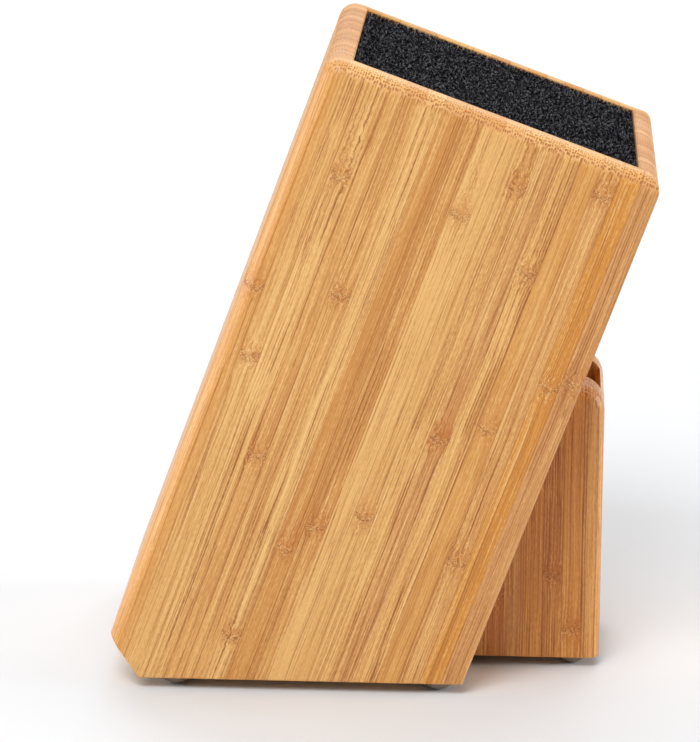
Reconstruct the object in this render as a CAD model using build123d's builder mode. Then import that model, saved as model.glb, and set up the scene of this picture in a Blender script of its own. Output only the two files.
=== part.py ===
from build123d import *

import os
from math import atan2, cos, degrees, radians, sin

# A leaning bamboo knife block with a lift-out bristle cartridge and a scissors holder at its front.
#
# Millimetres and degrees. +X points to the front, where the knife handles lean, +Y to the right of
# someone who stands in front of the block, and +Z up. The origin is on the counter, under the middle
# of the block. The box leans forward over the scissors holder. What is inside it is laid out on the
# lean plane, whose x runs across the box towards its front face and whose z runs up the lean, both
# counted from the box's lower front corner.

# The leaning box
lean_angle = 20.0  # from upright
box_depth = 130.0  # square to the lean, from the back face to the front face
box_width = 133.0  # from side to side
front_length = 206.0  # of the front face, along the lean
board = 9.5  # the thickness of every board
edge_radius = 6.3  # of the rounded edges round the top and up the back corners
front_edge_radius = 0.8  # up the front corners, which are only eased
eased_edge = 0.6  # of the edges underneath and round the mouth
heel_cut = 17.0  # taken off the sharp lower back corner, along both of its faces

# The scissors holder
holder_width = 62.0
holder_reach = 51.5  # how far it stands out from the box's lower front corner
holder_height = 104.4  # of its front face, before the corner above it is rounded
holder_corner_radius = 10.5
holder_edge_radius = 5.0
slot_width = 30.0  # from side to side
slot_gap = 12.0  # square to the lean, from the box's front face
slot_floor_height = 26.0

# The bristle cartridge
cartridge_clearance = 0.75  # to the boards around it
cartridge_rise = 7.2  # of its underside, up the lean
tray_height = 8.0
groove_depth = 4.0
tray_corner_radius = 2.0
bristle_margin = 1.0  # from the tray's edge to the bristles
bristle_recess = 0.8  # from the rim of the box down to the bristle tips
row_count = 6
lane_width = 5.0  # between two rows, where a blade goes in

# The rails that carry the tray
rail_width = 8.0
rail_height = 6.0
rail_length = 94.0

# The feet
foot_height = 4.3
foot_radius = 6.35
foot_sole_radius = 2.4
foot_band = 0.5  # the straight part against the wood
foot_dome_radius = 6.0
foot_inset = 9.5  # from the side of the box or the holder
back_foot_x = -108.0  # from the box's lower front corner
front_foot_x = -9.2
holder_foot_x = 41.2

# The dowels and screws
dowel_radius = 2.5
dowel_length = 16.0
dowel_end_chamfer = 0.5
dowel_depth_in_panel = 7.5
front_dowel_rises = (35.0, 103.0, 171.0)
back_dowel_rises = (0.0, 85.0, 170.0)
base_dowel_x = (-90.0, -30.0)
cross_dowel_radius = 3.0
cross_dowel_length = 50.0
cross_dowel_places = ((38.0, 20.0), (42.0, 55.0))
screw_radius = 2.0
screw_head_radius = 4.0
screw_head_height = 2.5
screw_length = 25.0
screw_tip = 4.0
screw_tip_end = 0.3
screw_drive_length = 4.4
screw_drive_width = 1.0
screw_drive_depth = 1.4
screw_rises = (30.0, 88.0)

# Worked out from the dimensions above
lean_sin = sin(radians(lean_angle))
lean_cos = cos(radians(lean_angle))
inner_half_width = box_width / 2 - board
inner_back = board - box_depth
inner_front = -board
back_corner_x = -box_depth / lean_cos
reach_back = back_corner_x + heel_cut * lean_sin
reach_front = front_length * lean_sin + edge_radius * (1 - lean_sin - lean_cos)
corner = (-(reach_back + reach_front) / 2, 0, foot_height)
cheek_middle = (holder_width + slot_width) / 4
cavity_middle = (inner_back + inner_front) / 2
dome_rim = foot_height - foot_band
screw_head_taper = degrees(atan2(screw_head_radius - screw_radius, screw_head_height))
screw_tip_taper = degrees(atan2(screw_radius - screw_tip_end, screw_tip))
foot_rows = (
    ("back", back_foot_x, box_width),
    ("front", front_foot_x, box_width),
    ("holder", holder_foot_x, holder_width),
)

# Planes through the box's lower front corner: square to the lean, facing forward across the lean,
# upright along the middle of the block seen from its left side, and level
lean = Plane(corner, x_dir=(lean_cos, 0, -lean_sin), z_dir=(lean_sin, 0, lean_cos))
across = Plane(corner, x_dir=(lean_sin, 0, lean_cos), z_dir=(lean_cos, 0, -lean_sin))
profile_plane = Plane(corner, x_dir=(1, 0, 0), z_dir=(0, -1, 0))
sideways = Plane(corner, x_dir=(1, 0, 0), z_dir=(0, 1, 0))
level = Plane(corner)


def cut_to(plane, low, high):
    """Cuts the part being built down to the slice from low to high along the plane's normal."""
    split(bisect_by=plane.offset(low), keep=Keep.TOP)
    split(bisect_by=plane.offset(high), keep=Keep.BOTTOM)


def finish(part, label):
    """Labels a piece and writes its STEP file."""
    part.label = label
    export_step(part, f"parts/{label}.step")


def dowel_centres():
    """The panel dowels' axes, from the box's lower front corner, as seen from its right side."""
    on_lean = [(inner_front + board / 2, rise) for rise in front_dowel_rises]
    on_lean += [(inner_back - board / 2, rise) for rise in back_dowel_rises]
    centres = [(x, -board / 2) for x in base_dowel_x]
    for x, z in on_lean:
        centres.append((x * lean_cos + z * lean_sin, x * lean_sin - z * lean_cos))
    return centres


os.makedirs("parts", exist_ok=True)

# The whole leaning box as one solid, from which its boards are cut
top_front = (front_length * lean_sin, front_length * lean_cos)
top_back = (top_front[0] - box_depth * lean_cos, top_front[1] + box_depth * lean_sin)
heel_top = (reach_back, heel_cut * lean_cos)
heel_bottom = (back_corner_x + heel_cut, 0)
with BuildPart() as box:
    with BuildSketch(profile_plane):
        with BuildLine():
            Polyline((0, 0), top_front, top_back, heel_top, heel_bottom, close=True)
        make_face()
    extrude(amount=box_width / 2, both=True)
    up_lean = Axis(corner, lean.z_dir)
    top_edges = box.faces().sort_by(up_lean)[-1].edges()
    back_corner_edges = box.edges().filter_by(up_lean).group_by(Axis.X)[0]
    fillet(top_edges + back_corner_edges, edge_radius)
    fillet(box.edges().filter_by(up_lean).group_by(Axis.X)[-1], front_edge_radius)
    fillet(box.faces().sort_by(Axis.Z)[0].edges(), eased_edge)
    with BuildSketch(lean.offset(front_length - eased_edge)):
        with Locations(((inner_back + inner_front) / 2, 0)):
            Rectangle(inner_front - inner_back, 2 * inner_half_width)
    extrude(amount=2 * eased_edge, taper=-45, mode=Mode.SUBTRACT)

# The whole holder as one solid, its top square to the lean and its back on the box's front face
top_along = holder_height * lean_cos + holder_reach * lean_sin
holder_top_back = (top_along * lean_sin, top_along * lean_cos)
holder_top_front = (holder_reach, holder_height)
with BuildPart() as holder:
    with BuildSketch(profile_plane) as holder_profile:
        with BuildLine():
            Polyline((0, 0), (holder_reach, 0), holder_top_front, holder_top_back, close=True)
        make_face()
        front_vertices = holder_profile.vertices().group_by(Axis.X)[-1].sort_by(Axis.Y)
        fillet(front_vertices[-1], holder_corner_radius)
    extrude(amount=holder_width / 2, both=True)
    side_edges = holder.faces().filter_by(Axis.Y).edges()
    sanded_edges = side_edges - side_edges.filter_by(Axis.X) - side_edges.filter_by(up_lean)
    fillet(sanded_edges, holder_edge_radius)

# Dowels that join each side panel to the ends of the boards between the panels
panel_dowels = {}
for side, label in ((-1, "panel_dowels_left"), (1, "panel_dowels_right")):
    outer_end = side * (inner_half_width + dowel_depth_in_panel)
    with BuildPart() as dowels:
        with BuildSketch(sideways.offset(outer_end)):
            with Locations(*dowel_centres()):
                Circle(dowel_radius)
        extrude(amount=-side * dowel_length)
        chamfer(dowels.edges().filter_by(GeomType.CIRCLE), dowel_end_chamfer)
    finish(dowels.part, label)
    panel_dowels[side] = dowels.part

# Screws through the front board into the holder's cheeks, their heads flush inside the box
screw_places = [(z, y) for z in screw_rises for y in (-cheek_middle, cheek_middle)]
with BuildPart() as screws:
    with BuildSketch(across.offset(inner_front)):
        with Locations(*screw_places):
            Circle(screw_head_radius)
    extrude(amount=screw_head_height, taper=screw_head_taper)
    with BuildSketch(across.offset(inner_front)):
        with Locations(*screw_places):
            Circle(screw_radius)
    extrude(amount=screw_length - screw_tip)
    with BuildSketch(across.offset(inner_front + screw_length - screw_tip)):
        with Locations(*screw_places):
            Circle(screw_radius)
    extrude(amount=screw_tip, taper=screw_tip_taper)
screw_holes = screws.part
with BuildPart() as holder_screws:
    add(screw_holes)
    with BuildSketch(across.offset(inner_front)):
        with Locations(*screw_places):
            Rectangle(screw_drive_length, screw_drive_width)
            Rectangle(screw_drive_width, screw_drive_length)
    extrude(amount=screw_drive_depth, mode=Mode.SUBTRACT)
finish(holder_screws.part, "holder_screws")

# Dowels across the holder, through its front wedge and into both cheeks
with BuildPart() as holder_dowels:
    with BuildSketch(sideways):
        with Locations(*[(x, -z) for x, z in cross_dowel_places]):
            Circle(cross_dowel_radius)
    extrude(amount=cross_dowel_length / 2, both=True)
    chamfer(holder_dowels.edges().filter_by(GeomType.CIRCLE), dowel_end_chamfer)
finish(holder_dowels.part, "holder_dowels")

# The box's side panels, which cover the ends of the boards between them
for side, label in ((-1, "side_panel_left"), (1, "side_panel_right")):
    low, high = sorted((side * inner_half_width, side * box_width))
    with BuildPart() as side_panel:
        add(box.part)
        cut_to(sideways, low, high)
        add(panel_dowels[side], mode=Mode.SUBTRACT)
    finish(side_panel.part, label)

# The base board, flush with the panels underneath
with BuildPart() as base_board:
    add(box.part)
    cut_to(sideways, -inner_half_width, inner_half_width)
    split(bisect_by=level.offset(board), keep=Keep.BOTTOM)
    for dowels in panel_dowels.values():
        add(dowels, mode=Mode.SUBTRACT)
finish(base_board.part, "base_board")

# The back board and the front board, which stand on the base board
with BuildPart() as back_board:
    add(box.part)
    cut_to(sideways, -inner_half_width, inner_half_width)
    split(bisect_by=level.offset(board), keep=Keep.TOP)
    split(bisect_by=across.offset(inner_back), keep=Keep.BOTTOM)
    for dowels in panel_dowels.values():
        add(dowels, mode=Mode.SUBTRACT)
finish(back_board.part, "back_board")

with BuildPart() as front_board:
    add(box.part)
    cut_to(sideways, -inner_half_width, inner_half_width)
    split(bisect_by=level.offset(board), keep=Keep.TOP)
    split(bisect_by=across.offset(inner_front), keep=Keep.TOP)
    for dowels in panel_dowels.values():
        add(dowels, mode=Mode.SUBTRACT)
    add(screw_holes, mode=Mode.SUBTRACT)
finish(front_board.part, "front_board")

# The holder's cheeks, and between them the wedge in front of the slot and the block under the slot
for side, label in ((-1, "holder_cheek_left"), (1, "holder_cheek_right")):
    low, high = sorted((side * slot_width / 2, side * holder_width))
    with BuildPart() as holder_cheek:
        add(holder.part)
        cut_to(sideways, low, high)
        add(holder_dowels.part, mode=Mode.SUBTRACT)
        add(screw_holes, mode=Mode.SUBTRACT)
    finish(holder_cheek.part, label)

with BuildPart() as holder_front_wedge:
    add(holder.part)
    cut_to(sideways, -slot_width / 2, slot_width / 2)
    split(bisect_by=across.offset(slot_gap), keep=Keep.TOP)
    add(holder_dowels.part, mode=Mode.SUBTRACT)
finish(holder_front_wedge.part, "holder_front_wedge")

with BuildPart() as holder_slot_floor:
    add(holder.part)
    cut_to(sideways, -slot_width / 2, slot_width / 2)
    split(bisect_by=across.offset(slot_gap), keep=Keep.BOTTOM)
    split(bisect_by=level.offset(slot_floor_height), keep=Keep.BOTTOM)
finish(holder_slot_floor.part, "holder_slot_floor")

# Rails on the inside of the side panels, which carry the tray
for side, label in ((-1, "tray_rail_left"), (1, "tray_rail_right")):
    with BuildPart() as tray_rail:
        with BuildSketch(lean.offset(cartridge_rise)):
            with Locations((inner_back + rail_length / 2, side * (inner_half_width - rail_width / 2))):
                Rectangle(rail_length, rail_width)
        extrude(amount=-rail_height)
    finish(tray_rail.part, label)

# The cartridge's tray, with a groove for the foot of each row of bristles
tray_length = inner_front - inner_back - 2 * cartridge_clearance
tray_width = 2 * (inner_half_width - cartridge_clearance)
row_length = tray_length - 2 * bristle_margin
row_pitch = (tray_width - 2 * bristle_margin + lane_width) / row_count
row_width = row_pitch - lane_width
row_places = [(cavity_middle, (i - (row_count - 1) / 2) * row_pitch) for i in range(row_count)]
groove_rise = cartridge_rise + tray_height - groove_depth
with BuildPart() as cartridge_tray:
    with BuildSketch(lean.offset(cartridge_rise)):
        with Locations((cavity_middle, 0)):
            RectangleRounded(tray_length, tray_width, tray_corner_radius)
    extrude(amount=tray_height)
    with BuildSketch(lean.offset(groove_rise)):
        with Locations(*row_places):
            Rectangle(row_length, row_width)
    extrude(amount=groove_depth, mode=Mode.SUBTRACT)
finish(cartridge_tray.part, "cartridge_tray")

# The rows of bristles, each as one solid block from its groove up to the bristle tips
for number, place in enumerate(row_places, start=1):
    with BuildPart() as bristle_row:
        with BuildSketch(lean.offset(groove_rise)):
            with Locations(place):
                Rectangle(row_length, row_width)
        extrude(amount=front_length - bristle_recess - groove_rise)
    finish(bristle_row.part, f"bristle_row_{number}")

# The feet: a domed button with a flat sole, two under each end of the box and two under the holder
with BuildPart() as foot:
    with BuildSketch(Plane.XZ):
        with BuildLine():
            Polyline((0, 0), (0, foot_height), (foot_radius, foot_height), (foot_radius, dome_rim))
            RadiusArc((foot_radius, dome_rim), (foot_sole_radius, 0), foot_dome_radius)
            Line((foot_sole_radius, 0), (0, 0))
        make_face()
    revolve(axis=Axis.Z)

for place, foot_x, width in foot_rows:
    for side, side_name in ((-1, "left"), (1, "right")):
        foot_y = side * (width / 2 - foot_inset)
        with BuildPart() as placed_foot:
            with Locations((corner[0] + foot_x, foot_y, 0)):
                add(foot.part)
        finish(placed_foot.part, f"foot_{place}_{side_name}")
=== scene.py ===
"""The looks of the leaning bamboo knife block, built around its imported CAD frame."""

import math
import random

import bpy
import numpy as np
from mathutils import Euler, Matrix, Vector


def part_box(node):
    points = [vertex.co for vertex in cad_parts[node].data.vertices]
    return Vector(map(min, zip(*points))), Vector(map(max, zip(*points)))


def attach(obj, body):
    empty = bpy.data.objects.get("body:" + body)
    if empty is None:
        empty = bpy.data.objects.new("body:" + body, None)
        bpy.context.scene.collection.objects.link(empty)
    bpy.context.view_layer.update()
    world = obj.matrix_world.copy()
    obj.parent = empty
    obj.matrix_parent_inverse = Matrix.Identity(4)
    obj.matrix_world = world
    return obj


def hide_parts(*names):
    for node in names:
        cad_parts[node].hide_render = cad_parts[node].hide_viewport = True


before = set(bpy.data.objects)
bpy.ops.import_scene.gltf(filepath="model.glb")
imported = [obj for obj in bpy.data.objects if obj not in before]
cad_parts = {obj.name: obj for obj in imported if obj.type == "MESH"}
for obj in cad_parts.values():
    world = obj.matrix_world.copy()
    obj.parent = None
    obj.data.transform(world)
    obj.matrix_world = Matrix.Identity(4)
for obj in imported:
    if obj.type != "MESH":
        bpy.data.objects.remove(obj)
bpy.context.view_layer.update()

MM = 0.001
LEAN = math.radians(20.0)


# ---------------------------------------------------------------- the lean's own coordinates

def lean_box(*nodes):
    """The corners of CAD nodes in lean coordinates: x across, y sideways, z up the lean."""
    points = np.array([tuple(v.co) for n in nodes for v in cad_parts[n].data.vertices])
    across = points[:, 0] * math.cos(LEAN) - points[:, 2] * math.sin(LEAN)
    along = points[:, 0] * math.sin(LEAN) + points[:, 2] * math.cos(LEAN)
    turned = np.column_stack([across, points[:, 1], along])
    return turned.min(0), turned.max(0)


def upright_box(*nodes):
    """The lowest and highest corners of CAD nodes in the row frame."""
    boxes = [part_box(n) for n in nodes]
    low = np.array([min(box[0][i] for box in boxes) for i in range(3)])
    high = np.array([max(box[1][i] for box in boxes) for i in range(3)])
    return low, high


def from_lean(points):
    """Points from lean coordinates to the row frame, as an array with one point a row."""
    points = np.asarray(points, float)
    x = points[:, 0] * math.cos(LEAN) + points[:, 2] * math.sin(LEAN)
    z = -points[:, 0] * math.sin(LEAN) + points[:, 2] * math.cos(LEAN)
    return np.column_stack([x, points[:, 1], z])


# ---------------------------------------------------------------- material building

def srgb(red, green, blue):
    """A linear colour from the 0 to 255 values that it has on a screen."""
    def linear(value):
        value /= 255.0
        return value / 12.92 if value <= 0.04045 else ((value + 0.055) / 1.055) ** 2.4
    return (linear(red), linear(green), linear(blue), 1.0)


def mixed(colour_a, colour_b, share):
    return tuple(a + (b - a) * share for a, b in zip(colour_a, colour_b))


class Graph:
    """One material and the node tree behind it."""

    def __init__(self, name):
        self.material = bpy.data.materials.new(name)
        self.material.use_nodes = True
        self.tree = self.material.node_tree
        self.tree.nodes.clear()
        self.shader = self.node("ShaderNodeBsdfPrincipled")
        output = self.node("ShaderNodeOutputMaterial")
        self.tree.links.new(self.shader.outputs[0], output.inputs["Surface"])
        self.place = self.node("ShaderNodeTexCoord")

    def node(self, kind, inputs=None, **settings):
        made = self.tree.nodes.new(kind)
        for name, value in settings.items():
            setattr(made, name, value)
        for key, value in (inputs or {}).items():
            self.feed(made.inputs[key], value)
        return made

    def feed(self, socket, value):
        if isinstance(value, bpy.types.NodeSocket):
            self.tree.links.new(value, socket)
        else:
            socket.default_value = value

    def math(self, operation, *values, clamp=False):
        inputs = dict(enumerate(values))
        return self.node("ShaderNodeMath", inputs, operation=operation, use_clamp=clamp).outputs[0]

    def plus(self, *values):
        total = values[0]
        for value in values[1:]:
            total = self.math("ADD", total, value)
        return total

    def minus(self, value, other):
        return self.math("SUBTRACT", value, other)

    def times(self, *values):
        product = values[0]
        for value in values[1:]:
            product = self.math("MULTIPLY", product, value)
        return product

    def magnitude(self, value):
        return self.math("ABSOLUTE", value)

    def vector(self, operation, *values):
        inputs = dict(enumerate(values))
        made = self.node("ShaderNodeVectorMath", inputs, operation=operation)
        return made.outputs["Value" if operation == "DOT_PRODUCT" else "Vector"]

    def combine(self, x, y, z):
        return self.node("ShaderNodeCombineXYZ", {0: x, 1: y, 2: z}).outputs[0]

    def separate(self, vector):
        return self.node("ShaderNodeSeparateXYZ", {0: vector}).outputs

    def remap(self, value, low, high, to_low=0.0, to_high=1.0, smooth=False):
        kind = "SMOOTHSTEP" if smooth else "LINEAR"
        inputs = {"Value": value, "From Min": low, "From Max": high, "To Min": to_low, "To Max": to_high}
        return self.node("ShaderNodeMapRange", inputs, interpolation_type=kind).outputs[0]

    def noise(self, vector, scale=1.0, detail=2.0, roughness=0.5, distortion=0.0, colour=False):
        inputs = {"Vector": vector, "Scale": scale, "Detail": detail, "Roughness": roughness,
                  "Distortion": distortion}
        made = self.node("ShaderNodeTexNoise", inputs, noise_dimensions="3D")
        return made.outputs["Color" if colour else 0]

    def offsets(self, vector, **settings):
        """Three noises at once, each from -0.5 to 0.5."""
        colour = self.noise(vector, colour=True, **settings)
        return self.separate(self.vector("SUBTRACT", colour, (0.5, 0.5, 0.5)))

    def mix(self, share, colour_a, colour_b, blend="MIX"):
        made = self.node("ShaderNodeMix", {0: share}, data_type="RGBA", blend_type=blend)
        self.feed(made.inputs[6], colour_a)
        self.feed(made.inputs[7], colour_b)
        return made.outputs[2]

    def steps(self, position, colours):
        """A row of equal flat steps of colour over positions 0 to 1."""
        made = self.node("ShaderNodeValToRGB", {0: position})
        ramp = made.color_ramp
        ramp.interpolation = "CONSTANT"
        while len(ramp.elements) < len(colours):
            ramp.elements.new(0.5)
        for number, colour in enumerate(colours):
            ramp.elements[number].position = number / len(colours)
            ramp.elements[number].color = colour
        return made.outputs[0]

    def bump(self, height, strength, distance):
        inputs = {"Height": height, "Strength": strength, "Distance": distance}
        self.feed(self.shader.inputs["Normal"], self.node("ShaderNodeBump", inputs).outputs[0])

    def surface(self, **values):
        """Values and links for the shader's sockets, by name with _ for a space."""
        for name, value in values.items():
            self.feed(self.shader.inputs[name.replace("_", " ")], value)


def paint(node, material):
    """Puts a material on a CAD node's own object, in its one material slot."""
    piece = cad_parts[node]
    if not piece.data.materials:
        piece.data.materials.append(None)
    for slot in piece.material_slots:
        slot.link = "OBJECT"
        slot.material = material


# ---------------------------------------------------------------- bamboo

STRIP = 7.6 * MM
PALE_STRIP = srgb(230, 181, 110)
DEEP_STRIP = srgb(196, 130, 58)
ROSY_STRIP = srgb(204, 150, 98)
AMBER_STRIP = srgb(206, 134, 46)
PALE_FIBRE = srgb(242, 204, 138)
DARK_FIBRE = srgb(150, 84, 28)
KNOT_BROWN = srgb(146, 76, 18)
STAIN_BROWN = srgb(188, 112, 44)
END_PALE = srgb(252, 214, 156)
END_ROSY = srgb(232, 184, 144)
END_CREAM = srgb(255, 240, 208)
END_DOT = srgb(164, 96, 36)

# How often each pattern repeats in a millimetre: across the strips, through the board, up the grain
SWAY_RATES = (0.05, 0.06, 0.02)
SWIRL_RATES = (0.55, 0.5, 0.42)
BUNDLE_RATES = (1.05, 1.05, 0.0)
THREAD_RATES = (1.9, 1.2, 0.012)
DASH_RATES = (2.4, 2.0, 0.55)
BAND_RATES = (0.42, 0.25, 0.006)
STROKE_RATES = (0.75, 0.6, 1.15)

# How far the fibres leave their straight course, in millimetres
SWAY_ACROSS = 1.4
SWAY_THROUGH = 2.2
KNOT_SWIRL = 3.4
RUFFLE = 2.6
KNOT_PINCH = 1.6  # towards the middle of the strip, at its edges

# How much each set of lines counts for on the long faces
THREAD_WEIGHT = 1.6
BAND_WEIGHT = 0.9
DASH_WEIGHT = 0.9
BUNDLE_WEIGHT = 0.62
RIDGE_WEIGHT = 0.6
HAIR_WEIGHT = 0.45

APART = 37.0  # how far the patterns of unlike strips lie from each other
KNOT_NEARNESS = 0.035  # how fast a knot's effect falls off with the square of the distance
NO_KNOT = 9.0  # a height past the end of any strip


class Strip:
    """One strip of bamboo: how dark it is, how rosy or amber, and where its knots are up its length."""

    def __init__(self, rng, tone=None, knots=None, length=1.0):
        self.tone = rng.uniform(0.1, 0.9) if tone is None else tone
        self.rosy = rng.uniform(0.2, 0.7) if rng.random() < 0.35 else 0.0
        self.amber = rng.uniform(0.2, 0.6) if rng.random() < 0.2 else 0.0
        self.knots = [rng.uniform(0.0, 1.6)] if knots is None else [k / length for k in knots]
        self.phase = rng.random()
        self.feather = rng.random() ** 2
        self.fibres = rng.random()
        self.stain = rng.random() ** 3

    def colour(self):
        colour = mixed(PALE_STRIP, DEEP_STRIP, self.tone)
        colour = mixed(colour, ROSY_STRIP, self.rosy)
        return mixed(colour, AMBER_STRIP, self.amber)

    def knot_facts(self):
        """The heights of two knots, as halves of their share of the length, and the feathering above."""
        first, second = (self.knots + [NO_KNOT, NO_KNOT])[:2]
        return (min(first / 2, 1.0), min(second / 2, 1.0), self.feather, 1.0)

    def other_facts(self):
        return (self.phase, self.fibres, self.stain, 1.0)


class Bamboo:
    """Solid bamboo: strips side by side along one axis, fibres up the grain, knots and end grain.

    The texture is solid, in millimetres: a face along the grain shows the fibre bundles as lines, and a
    cut across it shows the same bundles as dots. across is "x" or "y", the axis on which the strips lie
    side by side. The bundles crowd towards the skin, which is the board's outer face (skin="outer", on
    its low side where outer is -1) or one side of each strip (skin="side").
    """

    def __init__(self, name, nodes, strips, across, lean, skin, outer):
        self.graph = Graph(name)
        self.angle = LEAN if lean else 0.0
        low, high = lean_box(*nodes) if lean else upright_box(*nodes)
        self.locate(low / MM, high / MM, across, len(strips))
        self.read(strips)
        self.measure_knots()
        self.bend_fibres()
        self.find_skin(skin, outer)
        self.lay_bundles()
        self.lay_lines()

    def locate(self, low, high, across, count):
        """The place across the strips, through them and up the grain, in millimetres."""
        g = self.graph
        turn = {"Vector": g.place.outputs["Object"], "Axis": (0.0, 1.0, 0.0), "Angle": -self.angle}
        turned = g.node("ShaderNodeVectorRotate", turn).outputs[0]
        axes = g.separate(g.vector("MULTIPLY", turned, (1 / MM, 1 / MM, 1 / MM)))
        index, other = (0, 1) if across == "x" else (1, 0)
        self.side, self.depth, self.grain = axes[index], axes[other], axes[2]
        self.share = g.remap(self.side, low[index], high[index])
        self.faces = (low[other], high[other])
        self.foot = float(low[2])
        self.length = float(high[2] - low[2])
        self.width = float(high[index] - low[index]) / count

    def read(self, strips):
        """Which strip, where in it, and what is known of it."""
        g = self.graph
        self.strip_colour = g.steps(self.share, [s.colour() for s in strips])
        knots = g.separate(g.steps(self.share, [s.knot_facts() for s in strips]))
        facts = g.separate(g.steps(self.share, [s.other_facts() for s in strips]))
        self.knots, self.feather = (knots[0], knots[1]), knots[2]
        self.phase, self.fibres, self.stain = facts[0], facts[1], facts[2]
        self.shift = g.times(self.phase, APART)
        self.in_strip = g.math("FRACT", g.times(self.share, float(len(strips))))
        self.centred = g.minus(self.in_strip, 0.5)

    def measure_knots(self):
        """The distance up the grain from the strip's nearer knot."""
        g = self.graph
        rise = g.minus(self.grain, self.foot)
        gaps = [g.minus(rise, g.times(knot, 2.0 * self.length)) for knot in self.knots]
        nearer = g.math("LESS_THAN", g.magnitude(gaps[1]), g.magnitude(gaps[0]))
        choice = g.node("ShaderNodeMix", {0: nearer, 2: gaps[0], 3: gaps[1]}, data_type="FLOAT")
        self.knot = choice.outputs[0]
        squared = g.math("POWER", g.magnitude(self.knot), 2.0)
        self.near_knot = g.math("EXPONENT", g.times(squared, -KNOT_NEARNESS))
        past_knot = g.remap(self.knot, -1.0, 1.5, smooth=True)
        self.above = g.times(past_knot, g.remap(self.knot, 4.0, 38.0, 1.0, 0.0))

    def stretched(self, side, depth, rates, across=0.0, up=0.0):
        """A place in a pattern, from its rates, shifted across the strips or up the grain."""
        g = self.graph
        return g.combine(g.plus(g.times(side, rates[0]), across), g.times(depth, rates[1]),
                         g.plus(g.times(self.grain, rates[2]), up))

    def along_fibres(self, rates):
        """A place in a pattern that follows the fibres."""
        return self.stretched(self.fibre_side, self.fibre_depth, rates)

    def bend_fibres(self):
        """The fibres: straight but for a slow sway, swirls at the knots and ruffles above some of them."""
        g = self.graph
        slow = self.stretched(self.side, self.depth, SWAY_RATES, across=self.shift)
        tight = self.stretched(self.side, self.depth, SWIRL_RATES, up=self.shift)
        sway = g.offsets(slow, detail=1.0)
        self.swirl = g.offsets(tight, detail=2.5)
        wild = g.plus(g.times(self.near_knot, KNOT_SWIRL), g.times(self.above, self.feather, RUFFLE))
        pinch = g.times(self.centred, self.near_knot, -KNOT_PINCH)
        self.fibre_side = g.plus(self.side, g.times(sway[0], SWAY_ACROSS), pinch,
                                 g.times(self.swirl[0], wild), self.shift)
        self.fibre_depth = g.plus(self.depth, g.times(sway[1], SWAY_THROUGH), g.times(self.swirl[1], wild))

    def find_skin(self, skin, outer):
        """How near the skin: 1 at it, and 0 at the far side of the board or the strip."""
        g = self.graph
        if skin == "outer":
            face, inside = self.faces if outer < 0 else self.faces[::-1]
            self.skin_side = g.remap(self.depth, face, inside, 1.0, 0.0)
            self.skin_stain = 0.22
        else:
            flipped = g.math("GREATER_THAN", self.phase, 0.5)
            self.skin_side = g.magnitude(g.minus(flipped, self.in_strip))
            self.skin_stain = 0.45

    def lay_bundles(self):
        """Fibre bundles, thicker towards the skin, and each one's strength."""
        g = self.graph
        cells = {"Vector": self.along_fibres(BUNDLE_RATES), "Scale": 1.0, "Randomness": 0.6}
        voronoi = g.node("ShaderNodeTexVoronoi", cells, voronoi_dimensions="2D")
        radius = g.plus(g.times(self.skin_side, 0.22), g.remap(self.fibres, 0.0, 1.0, 0.06, 0.18))
        self.inside_bundle = g.minus(radius, voronoi.outputs["Distance"])
        self.bundle = g.remap(self.inside_bundle, -0.09, 0.09, smooth=True)
        self.strength = g.separate(voronoi.outputs["Color"])[0]

    def thin_lines(self, value, width, gate, gate_low, gate_high):
        """Lines where a noise passes its middle, and only where another noise is high enough."""
        g = self.graph
        thin = g.remap(g.magnitude(g.minus(value, 0.5)), 0.0, width, 1.0, 0.0, smooth=True)
        return g.times(thin, g.remap(gate, gate_low, gate_high))

    def lay_lines(self):
        """All the lines along the grain, summed: above nothing where darker, below it where paler."""
        g = self.graph
        threads = g.noise(self.along_fibres(THREAD_RATES), detail=2.0, roughness=0.65, colour=True)
        threads = g.separate(threads)
        bands = g.separate(g.noise(self.along_fibres(BAND_RATES), detail=1.0, colour=True))
        dash = g.noise(self.along_fibres(DASH_RATES), detail=1.0)
        hair = self.thin_lines(threads[1], 0.05, threads[2], 0.45, 0.60)
        ridge = self.thin_lines(bands[1], 0.028, bands[2], 0.40, 0.62)
        bundles = g.times(self.bundle, g.remap(self.strength, 0.1, 1.0, 0.0, BUNDLE_WEIGHT))
        sums = g.plus(g.times(g.minus(threads[0], 0.5), THREAD_WEIGHT),
                      g.times(g.minus(bands[0], 0.5), BAND_WEIGHT),
                      g.times(g.minus(dash, 0.5), DASH_WEIGHT),
                      g.minus(bundles, 0.05),
                      g.times(ridge, RIDGE_WEIGHT),
                      g.times(hair, HAIR_WEIGHT))
        self.lines = g.times(sums, g.remap(self.fibres, 0.0, 1.0, 0.6, 1.05))
        self.fine, self.broad = threads[0], bands[0]

    def face(self):
        """The colour of the long faces, stained at and above the knots."""
        g = self.graph
        strip_stain = g.remap(self.stain, 0.0, 1.0, 0.22, 0.75)
        stained = g.times(g.plus(self.above, self.near_knot), 0.5, strip_stain)
        stained = g.plus(stained, g.times(self.near_knot, 0.25))
        colour = g.mix(stained, self.strip_colour, STAIN_BROWN)
        colour = g.mix(g.math("MULTIPLY", self.lines, 1.0, clamp=True), colour, DARK_FIBRE)
        return g.mix(g.math("MULTIPLY", self.lines, -1.3, clamp=True), colour, PALE_FIBRE)

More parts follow.
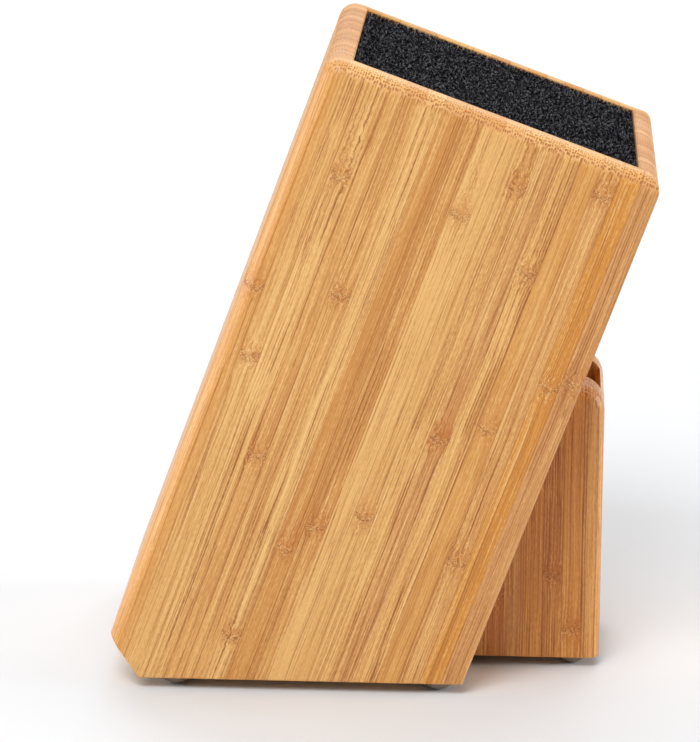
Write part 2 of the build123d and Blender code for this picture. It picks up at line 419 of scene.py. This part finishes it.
    def with_knots(self, colour):
        """A colour with the knots: short dark and pale strokes in a bowed band across the strip."""
        g = self.graph
        bow = g.minus(g.times(self.centred, self.centred, 9.0), 1.0)
        arc = g.magnitude(g.minus(self.knot, g.plus(bow, g.times(self.swirl[2], KNOT_SWIRL))))
        place = self.stretched(self.side, self.depth, STROKE_RATES, across=self.shift)
        stroke = g.offsets(place, detail=1.0, distortion=0.8)
        band = g.remap(arc, 0.8, 2.4, 1.0, 0.0, smooth=True)
        dark = g.remap(g.magnitude(stroke[0]), 0.015, 0.07, 1.0, 0.0, smooth=True)
        pale = g.remap(g.magnitude(stroke[1]), 0.015, 0.08, 1.0, 0.0, smooth=True)
        line = g.remap(arc, 0.1, 0.5, 0.45, 0.0, smooth=True)
        line = g.times(line, g.remap(stroke[2], -0.1, 0.1, 0.2, 1.0))
        colour = g.mix(g.times(pale, band, 0.4), colour, PALE_FIBRE)
        colour = g.mix(g.times(dark, band, 0.72), colour, KNOT_BROWN)
        return g.mix(line, colour, KNOT_BROWN)

    def seam(self):
        """The glue lines between the strips."""
        g = self.graph
        gap = g.times(g.minus(0.5, g.magnitude(self.centred)), self.width)
        thin = g.remap(gap, 0.08, 0.28, 1.0, 0.0, smooth=True)
        return g.times(thin, g.remap(self.broad, 0.35, 0.65, 0.12, 0.6))

    def end_grain(self, end, seam):
        """The colour of a cut across the grain: each strip's own, paled towards end, with dots."""
        g = self.graph
        colour = g.mix(0.3, self.strip_colour, end)
        colour = g.mix(g.remap(self.phase, 0.35, 1.0, 0.0, 0.5), colour, STAIN_BROWN)
        skin_edge = g.remap(self.skin_side, 0.72, 1.0, 0.0, self.skin_stain, smooth=True)
        colour = g.mix(skin_edge, colour, STAIN_BROWN)
        dots = g.remap(g.plus(self.inside_bundle, 0.02), -0.08, 0.08, smooth=True)
        colour = g.mix(g.times(dots, g.remap(self.strength, 0.0, 1.0, 0.6, 1.0)), colour, END_DOT)
        return g.mix(g.times(seam, 0.9), colour, KNOT_BROWN)

    def finish(self, tint, end):
        """The shader: the faces' colour, tinted, or the end grain's where the surface cuts the grain."""
        g = self.graph
        seam = self.seam()
        colour = g.mix(seam, self.with_knots(self.face()), KNOT_BROWN)
        if tint:
            colour = g.mix(1.0, colour, tint, blend="MULTIPLY")
        up = (math.sin(self.angle), 0.0, math.cos(self.angle))
        cut = g.magnitude(g.vector("DOT_PRODUCT", g.place.outputs["Normal"], up))
        colour = g.mix(g.remap(cut, 0.18, 0.5, smooth=True), colour, self.end_grain(end, seam))
        g.surface(Base_Color=colour, Roughness=g.remap(self.fine, 0.3, 0.7, 0.38, 0.52),
                  Specular_IOR_Level=0.4, Coat_Weight=0.15, Coat_Roughness=0.25)
        dents = g.plus(g.times(seam, 0.6), g.times(self.bundle, 0.5))
        height = g.minus(g.times(self.fine, 0.5), dents)
        g.bump(g.times(height, g.remap(self.near_knot, 0.0, 1.0, 1.0, 0.1)), 0.15, 0.15 * MM)


def bamboo(name, nodes, strips, across, lean=True, skin="outer", outer=-1, tint=None, end=END_PALE):
    """Paints CAD nodes with one bamboo material."""
    wood = Bamboo(name, nodes, strips, across, lean, skin, outer)
    wood.finish(tint, end)
    for node in nodes:
        paint(node, wood.graph.material)


def random_strips(seed, nodes, across, lean=True):
    """Strips of bamboo about as wide as STRIP, enough to cross some nodes."""
    index = 0 if across == "x" else 1
    low, high = lean_box(*nodes) if lean else upright_box(*nodes)
    rng = random.Random(seed)
    return [Strip(rng) for _ in range(max(2, round((high[index] - low[index]) / STRIP)))]


def left_panel_strips():
    """The left panel's strips from back to front: tones, knots in mm below the rim, tints and stains."""
    tones = (0.62, 0.42, 0.30, 0.60, 0.55, 0.25, 0.85, 0.70, 0.20,
             0.35, 0.42, 0.65, 0.35, 0.58, 0.46, 0.66, 0.58)
    knots = ((90,), (115,), (40,), (150,), (82,), (219,), (180,), (168,), (38,), (158,), (21,), (120,), (50,),
             (110,), (13, 162), (87,), (82,))
    feathered = {2: 1.0, 8: 0.9, 10: 0.5, 12: 0.25, 13: 0.5, 14: 0.4}
    stained = {3: 0.3, 6: 0.55, 7: 0.5, 11: 1.0, 10: 0.25, 14: 0.3}
    rosy = {11: 0.3, 14: 0.35, 16: 0.7}
    amber = {0: 0.2, 12: 0.15, 13: 0.3, 14: 0.25, 15: 0.8, 16: 0.2}
    low, high = lean_box("side_panel_left")
    length = (high[2] - low[2]) / MM
    rng = random.Random(3)
    strips = []
    for number, (tone, drops) in enumerate(zip(tones, knots)):
        strip = Strip(rng, tone, [length - drop for drop in drops], length)
        strip.feather = feathered.get(number, 0.08)
        strip.stain = stained.get(number, 0.05)
        strip.rosy = rosy.get(number, 0.0)
        strip.amber = amber.get(number, 0.0)
        strips.append(strip)
    return strips


def cheek_strips():
    """The holder's cheeks: tones from back to front, and knots in mm above the underside.

    A height past the top of the cheeks gives a strip with no knot.
    """
    tones = (0.7, 0.9, 0.85, 0.45, 0.75, 0.2, 0.35)
    knots = ((60,), (25,), (200,), (200,), (33,), (11,), (200,))
    low, high = upright_box(*CHEEKS)
    length = (high[2] - low[2]) / MM
    rng = random.Random(17)
    strips = [Strip(rng, tone, rises, length) for tone, rises in zip(tones, knots)]
    for strip in strips:
        strip.feather *= 0.4
        strip.rosy *= 0.5
        strip.fibres = 0.5 + 0.5 * strip.fibres
        strip.stain = 0.6
    return strips


# ---------------------------------------------------------------- plain parts

def plain(name, nodes, colour, other, roughness, grain_mm, bump=0.1, **extra):
    """Plain wood, plastic or metal: two close colours, a fine grain and uneven gloss."""
    g = Graph(name)
    place = g.place.outputs["Object"]
    cloud = g.noise(place, scale=1.0 / (6.0 * grain_mm * MM), detail=3.0)
    grain = g.noise(place, scale=1.0 / (grain_mm * MM), detail=4.0)
    gloss = g.remap(grain, 0.3, 0.7, roughness - 0.05, roughness + 0.05)
    g.surface(Base_Color=g.mix(cloud, colour, other), Roughness=gloss, **extra)
    g.bump(grain, bump, 0.05 * MM)
    for node in nodes:
        paint(node, g.material)


# ---------------------------------------------------------------- every CAD node's material

HOLDER_TINT = srgb(238, 222, 196)
CHEEKS = ["holder_cheek_left", "holder_cheek_right"]
WEDGE = ["holder_front_wedge", "holder_slot_floor"]
BASE = ["base_board", "tray_rail_left", "tray_rail_right"]
DOWELS = ["panel_dowels_left", "panel_dowels_right", "holder_dowels"]
FEET = [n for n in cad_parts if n.startswith("foot_")]
bamboo("bamboo_side_left", ["side_panel_left"], left_panel_strips(), "x")
bamboo("bamboo_side_right", ["side_panel_right"], random_strips(11, ["side_panel_right"], "x"), "x", outer=1)
bamboo("bamboo_front", ["front_board"], random_strips(5, ["front_board"], "y"), "y",
       skin="side", end=END_ROSY)
bamboo("bamboo_back", ["back_board"], random_strips(7, ["back_board"], "y"), "y",
       skin="side", end=END_ROSY)
bamboo("bamboo_base", BASE, random_strips(13, BASE, "y"), "y", skin="side")
bamboo("bamboo_cheeks", CHEEKS, cheek_strips(), "x", lean=False, tint=HOLDER_TINT, end=END_CREAM)
bamboo("bamboo_wedge", WEDGE, random_strips(19, WEDGE, "y", lean=False), "y", lean=False, skin="side",
       tint=HOLDER_TINT, end=END_CREAM)
plain("dowel_wood", DOWELS, srgb(214, 180, 135), srgb(196, 158, 112), 0.6, 0.4)
plain("screw_steel", ["holder_screws"], srgb(190, 190, 192), srgb(170, 172, 176), 0.35, 0.3, Metallic=1.0)
plain("tray_plastic", ["cartridge_tray"], srgb(22, 22, 24), srgb(30, 30, 33), 0.55, 0.3)
plain("foot_plastic", FEET, srgb(104, 88, 72), srgb(130, 112, 94), 0.16, 0.8,
      bump=0.03, Coat_Weight=0.6, Coat_Roughness=0.08)


# ---------------------------------------------------------------- bristles

FILAMENT = 0.22 * MM  # radius
SIDES = 3
SPACING = 0.78 * MM
CRIMP_DEPTH = 11.0 * MM  # how much of each filament is modelled below its tip, but for the outermost
SPLAY = 1.3 * MM  # how far the outermost tips lean out over the gap to the walls
SPLAY_WIDTH = 5.0 * MM  # how far from the walls the tips still lean out
CALM = 0.8  # how much straighter a filament stands right at a wall
CORE_INSET = 0.6 * SPACING
CORE_TOP = 0.8 * CRIMP_DEPTH  # below the tips
CORE_ROOT = 3.0 * MM  # how far the core reaches down into the tray
BOX_FACES = ((0, 1, 3, 2), (4, 6, 7, 5), (0, 4, 5, 1), (2, 3, 7, 6), (0, 2, 6, 4), (1, 5, 7, 3))


def bristle_material():
    """Black nylon, with pale flecks painted into its colour as highlights."""
    g = Graph("bristle_plastic")
    place = g.place.outputs["Object"]
    cloud = g.noise(place, scale=900.0, detail=1.0)
    painted_glint = g.remap(cloud, 0.52, 0.68)
    # painted highlights: pale grey flecks mixed into the black base colour stand in for glints of light on
    # the filaments
    g.surface(Base_Color=g.mix(painted_glint, srgb(3, 3, 5), srgb(118, 118, 126)),
              Roughness=g.remap(cloud, 0.3, 0.7, 0.34, 0.46), Specular_IOR_Level=0.08)
    g.bump(g.noise(place, scale=2500.0), 0.1, 0.03 * MM)
    return g.material


def filament(vertices, faces, path, radius, spin):
    """Adds one filament: a three-sided tube along the path, closed at its tip."""
    first = len(vertices)
    for point in path:
        for corner in range(SIDES):
            angle = spin + corner * 2 * math.pi / SIDES
            corner_x = point[0] + radius * math.cos(angle)
            corner_y = point[1] + radius * math.sin(angle)
            vertices.append((corner_x, corner_y, point[2]))
    for ring in range(len(path) - 1):
        for corner in range(SIDES):
            a = first + ring * SIDES + corner
            b = first + ring * SIDES + (corner + 1) % SIDES
            faces.append((a, b, b + SIDES, a + SIDES))
    top = first + (len(path) - 1) * SIDES
    faces.append(tuple(range(top, top + SIDES)))


def crimped(rng, x, y, low, high, walls):
    """A filament's path: upright low down, then bent over near its tip, mostly along the mouth.

    Near the cartridge's sides it stands straighter, and splays out until it all but meets the walls.
    """
    gaps = ((x - walls[0][0], -1, 0), (walls[1][0] - x, 1, 0),
            (y - walls[0][1], 0, -1), (walls[1][1] - y, 0, 1))
    calm = 1 - CALM * max(0.0, 1 - min(gap[0] for gap in gaps) / SPLAY_WIDTH)
    out_x = sum(way * max(0.0, 1 - gap / SPLAY_WIDTH) for gap, way, _ in gaps)
    out_y = sum(way * max(0.0, 1 - gap / SPLAY_WIDTH) for gap, _, way in gaps)
    heading = rng.gauss(-0.35, 0.5) + (math.pi if rng.random() < 0.35 else 0.0)
    reach = rng.uniform(1.0, 3.2) * MM * calm
    wave = rng.uniform(0.1, 0.3) * MM
    phase = rng.uniform(0, 2 * math.pi)
    high -= rng.uniform(0.0, 0.6) * MM * calm
    steps = 5 if high - low < 2 * CRIMP_DEPTH else 12
    path = []
    for step in range(steps):
        share = step / (steps - 1)
        height = low + share * (high - low)
        near_tip = max(0.0, 1 - (high - height) / CRIMP_DEPTH)
        bend = reach * near_tip ** 3
        sway = wave * math.sin(phase + 6.0 * share)
        splay = SPLAY * near_tip
        px = x + bend * math.cos(heading) - sway * math.sin(heading) + splay * out_x
        py = y + bend * math.sin(heading) + sway * math.cos(heading) + splay * out_y
        margin = splay - FILAMENT
        px = min(max(px, walls[0][0] - margin), walls[1][0] + margin)
        py = min(max(py, walls[0][1] - margin), walls[1][1] + margin)
        path.append((px, py, height))
    return path


def grow(rng, vertices, faces, low, high, ends, tray_top, walls):
    """Fills a row with filaments. ends says whether its low and high sides are the cartridge's own."""
    columns = round((high[0] - low[0]) / SPACING)
    lines = round((high[1] - low[1]) / SPACING)
    tip = high[2]
    for column in range(columns):
        for line in range(lines):
            at_end = (ends[0] and line == 0) or (ends[1] and line == lines - 1)
            outermost = column in (0, columns - 1) or at_end
            loose = 0.2 if outermost else 0.45
            x = low[0] + (column + 0.5 + rng.uniform(-loose, loose)) * (high[0] - low[0]) / columns
            y = low[1] + (line + 0.5 + rng.uniform(-loose, loose)) * (high[1] - low[1]) / lines
            base = tray_top if outermost else tip - CRIMP_DEPTH
            path = crimped(rng, x, y, base, tip, walls)
            filament(vertices, faces, path, FILAMENT * rng.uniform(0.75, 1.1), rng.uniform(0, 6.28))
            if outermost:
                path = crimped(rng, x + SPACING / 2, y + SPACING / 4, tip - CRIMP_DEPTH, tip, walls)
                filament(vertices, faces, path, FILAMENT, rng.uniform(0, 6.28))


def core(vertices, faces, low, high, ends, tray_top):
    """Adds the dark mass that a row's outermost filaments stand in front of."""
    xs = (low[0] + CORE_INSET, high[0] - CORE_INSET)
    ys = (low[1] + CORE_INSET * ends[0], high[1] - CORE_INSET * ends[1])
    zs = (tray_top - CORE_ROOT, high[2] - CORE_TOP)
    first = len(vertices)
    vertices.extend((x, y, z) for x in xs for y in ys for z in zs)
    faces.extend(tuple(first + corner for corner in face) for face in BOX_FACES)


def bristles():
    """Each row's bristles, as loose filaments round a dark core, filling the lanes beside the row."""
    names = sorted(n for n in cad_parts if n.startswith("bristle_row_"))
    boxes = [lean_box(n) for n in names]
    field_low, field_high = lean_box(*names)
    tray_top = lean_box("cartridge_tray")[1][2]
    material = bristle_material()
    rng = random.Random(29)
    for number, (name, (low, high)) in enumerate(zip(names, boxes)):
        ends = (number == 0, number == len(names) - 1)
        y_low = field_low[1] if ends[0] else (boxes[number - 1][1][1] + low[1]) / 2
        y_high = field_high[1] if ends[1] else (high[1] + boxes[number + 1][0][1]) / 2
        walls = ((low[0], field_low[1]), (high[0], field_high[1]))
        row_low, row_high = (low[0], y_low, low[2]), (high[0], y_high, high[2])
        vertices, faces = [], []
        grow(rng, vertices, faces, row_low, row_high, ends, tray_top, walls)
        core(vertices, faces, row_low, row_high, ends, tray_top)
        mesh = bpy.data.meshes.new(f"bristles_{number + 1}")
        mesh.from_pydata(from_lean(vertices).tolist(), [], faces)
        mesh.materials.append(material)
        piece = bpy.data.objects.new(f"bristles_{number + 1}", mesh)
        bpy.context.scene.collection.objects.link(piece)
        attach(piece, "cartridge")
        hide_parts(name)


bristles()


# ---------------------------------------------------------------- camera, floor and light

def soft_light(name, energy, size, place, target):
    """A soft rectangular light at a place, turned to face a target; size is its width and height."""
    lamp = bpy.data.lights.new(name, "AREA")
    lamp.energy = energy
    lamp.shape = "RECTANGLE"
    lamp.size, lamp.size_y = size
    piece = bpy.data.objects.new(name, lamp)
    piece.location = place
    piece.rotation_euler = (Vector(target) - Vector(place)).to_track_quat("-Z", "Y").to_euler()
    piece.visible_camera = False
    bpy.context.scene.collection.objects.link(piece)


def camera():
    """The photograph's view: from the block's left, a little above it, through a long lens."""
    data = bpy.data.cameras.new("camera")
    data.lens = 195.1
    data.clip_end = 30.0
    piece = bpy.data.objects.new("camera", data)
    piece.location = (0.0565, -1.4947, 0.4974)
    pitch, yaw, roll = math.radians(14.595), math.radians(-2.706), math.radians(0.438)
    turn = Euler((math.radians(90) - pitch, 0, -yaw)).to_matrix()
    piece.rotation_euler = (turn @ Euler((0, 0, roll)).to_matrix()).to_euler()
    bpy.context.scene.collection.objects.link(piece)
    bpy.context.scene.camera = piece


def floor():
    """A plain pale floor, wide enough to reach past every view of the block."""
    reach = 12.0
    corners = [(-reach, -reach, 0), (reach, -reach, 0), (reach, reach, 0), (-reach, reach, 0)]
    mesh = bpy.data.meshes.new("floor")
    mesh.from_pydata(corners, [], [(0, 1, 2, 3)])
    g = Graph("floor_paint")
    cloud = g.noise(g.place.outputs["Object"], scale=2.0, detail=2.0)
    g.surface(Base_Color=g.mix(cloud, srgb(216, 219, 223), srgb(220, 222, 224)),
              Roughness=0.55, Specular_IOR_Level=0.3)
    mesh.materials.append(g.material)
    piece = bpy.data.objects.new("floor", mesh)
    bpy.context.scene.collection.objects.link(piece)


def sky():
    """An even white light from everywhere."""
    world = bpy.data.worlds.new("studio")
    bpy.context.scene.world = world
    world.use_nodes = True
    background = world.node_tree.nodes["Background"]
    background.inputs["Color"].default_value = (1.0, 1.0, 1.0, 1.0)
    background.inputs["Strength"].default_value = 0.27


camera()
floor()
sky()
MIDDLE = (0, 0, 0.12)
soft_light("left strip", 11.0, (1.6, 0.55), (-1.5, -0.1, 0.34), MIDDLE)
soft_light("front key", 36.0, (1.1, 1.1), (-0.4, -1.35, 1.75), MIDDLE)
soft_light("top", 9.0, (1.8, 1.2), (0.0, 0.8, 1.7), (0, 0, 0))
soft_light("right strip", 15.0, (0.9, 0.5), (1.5, 0.0, 0.4), MIDDLE)
soft_light("backdrop", 34.0, (2.4, 1.0), (0.0, 1.7, 1.3), (0, 1.9, 0))
bpy.context.scene.view_settings.view_transform = "Standard"
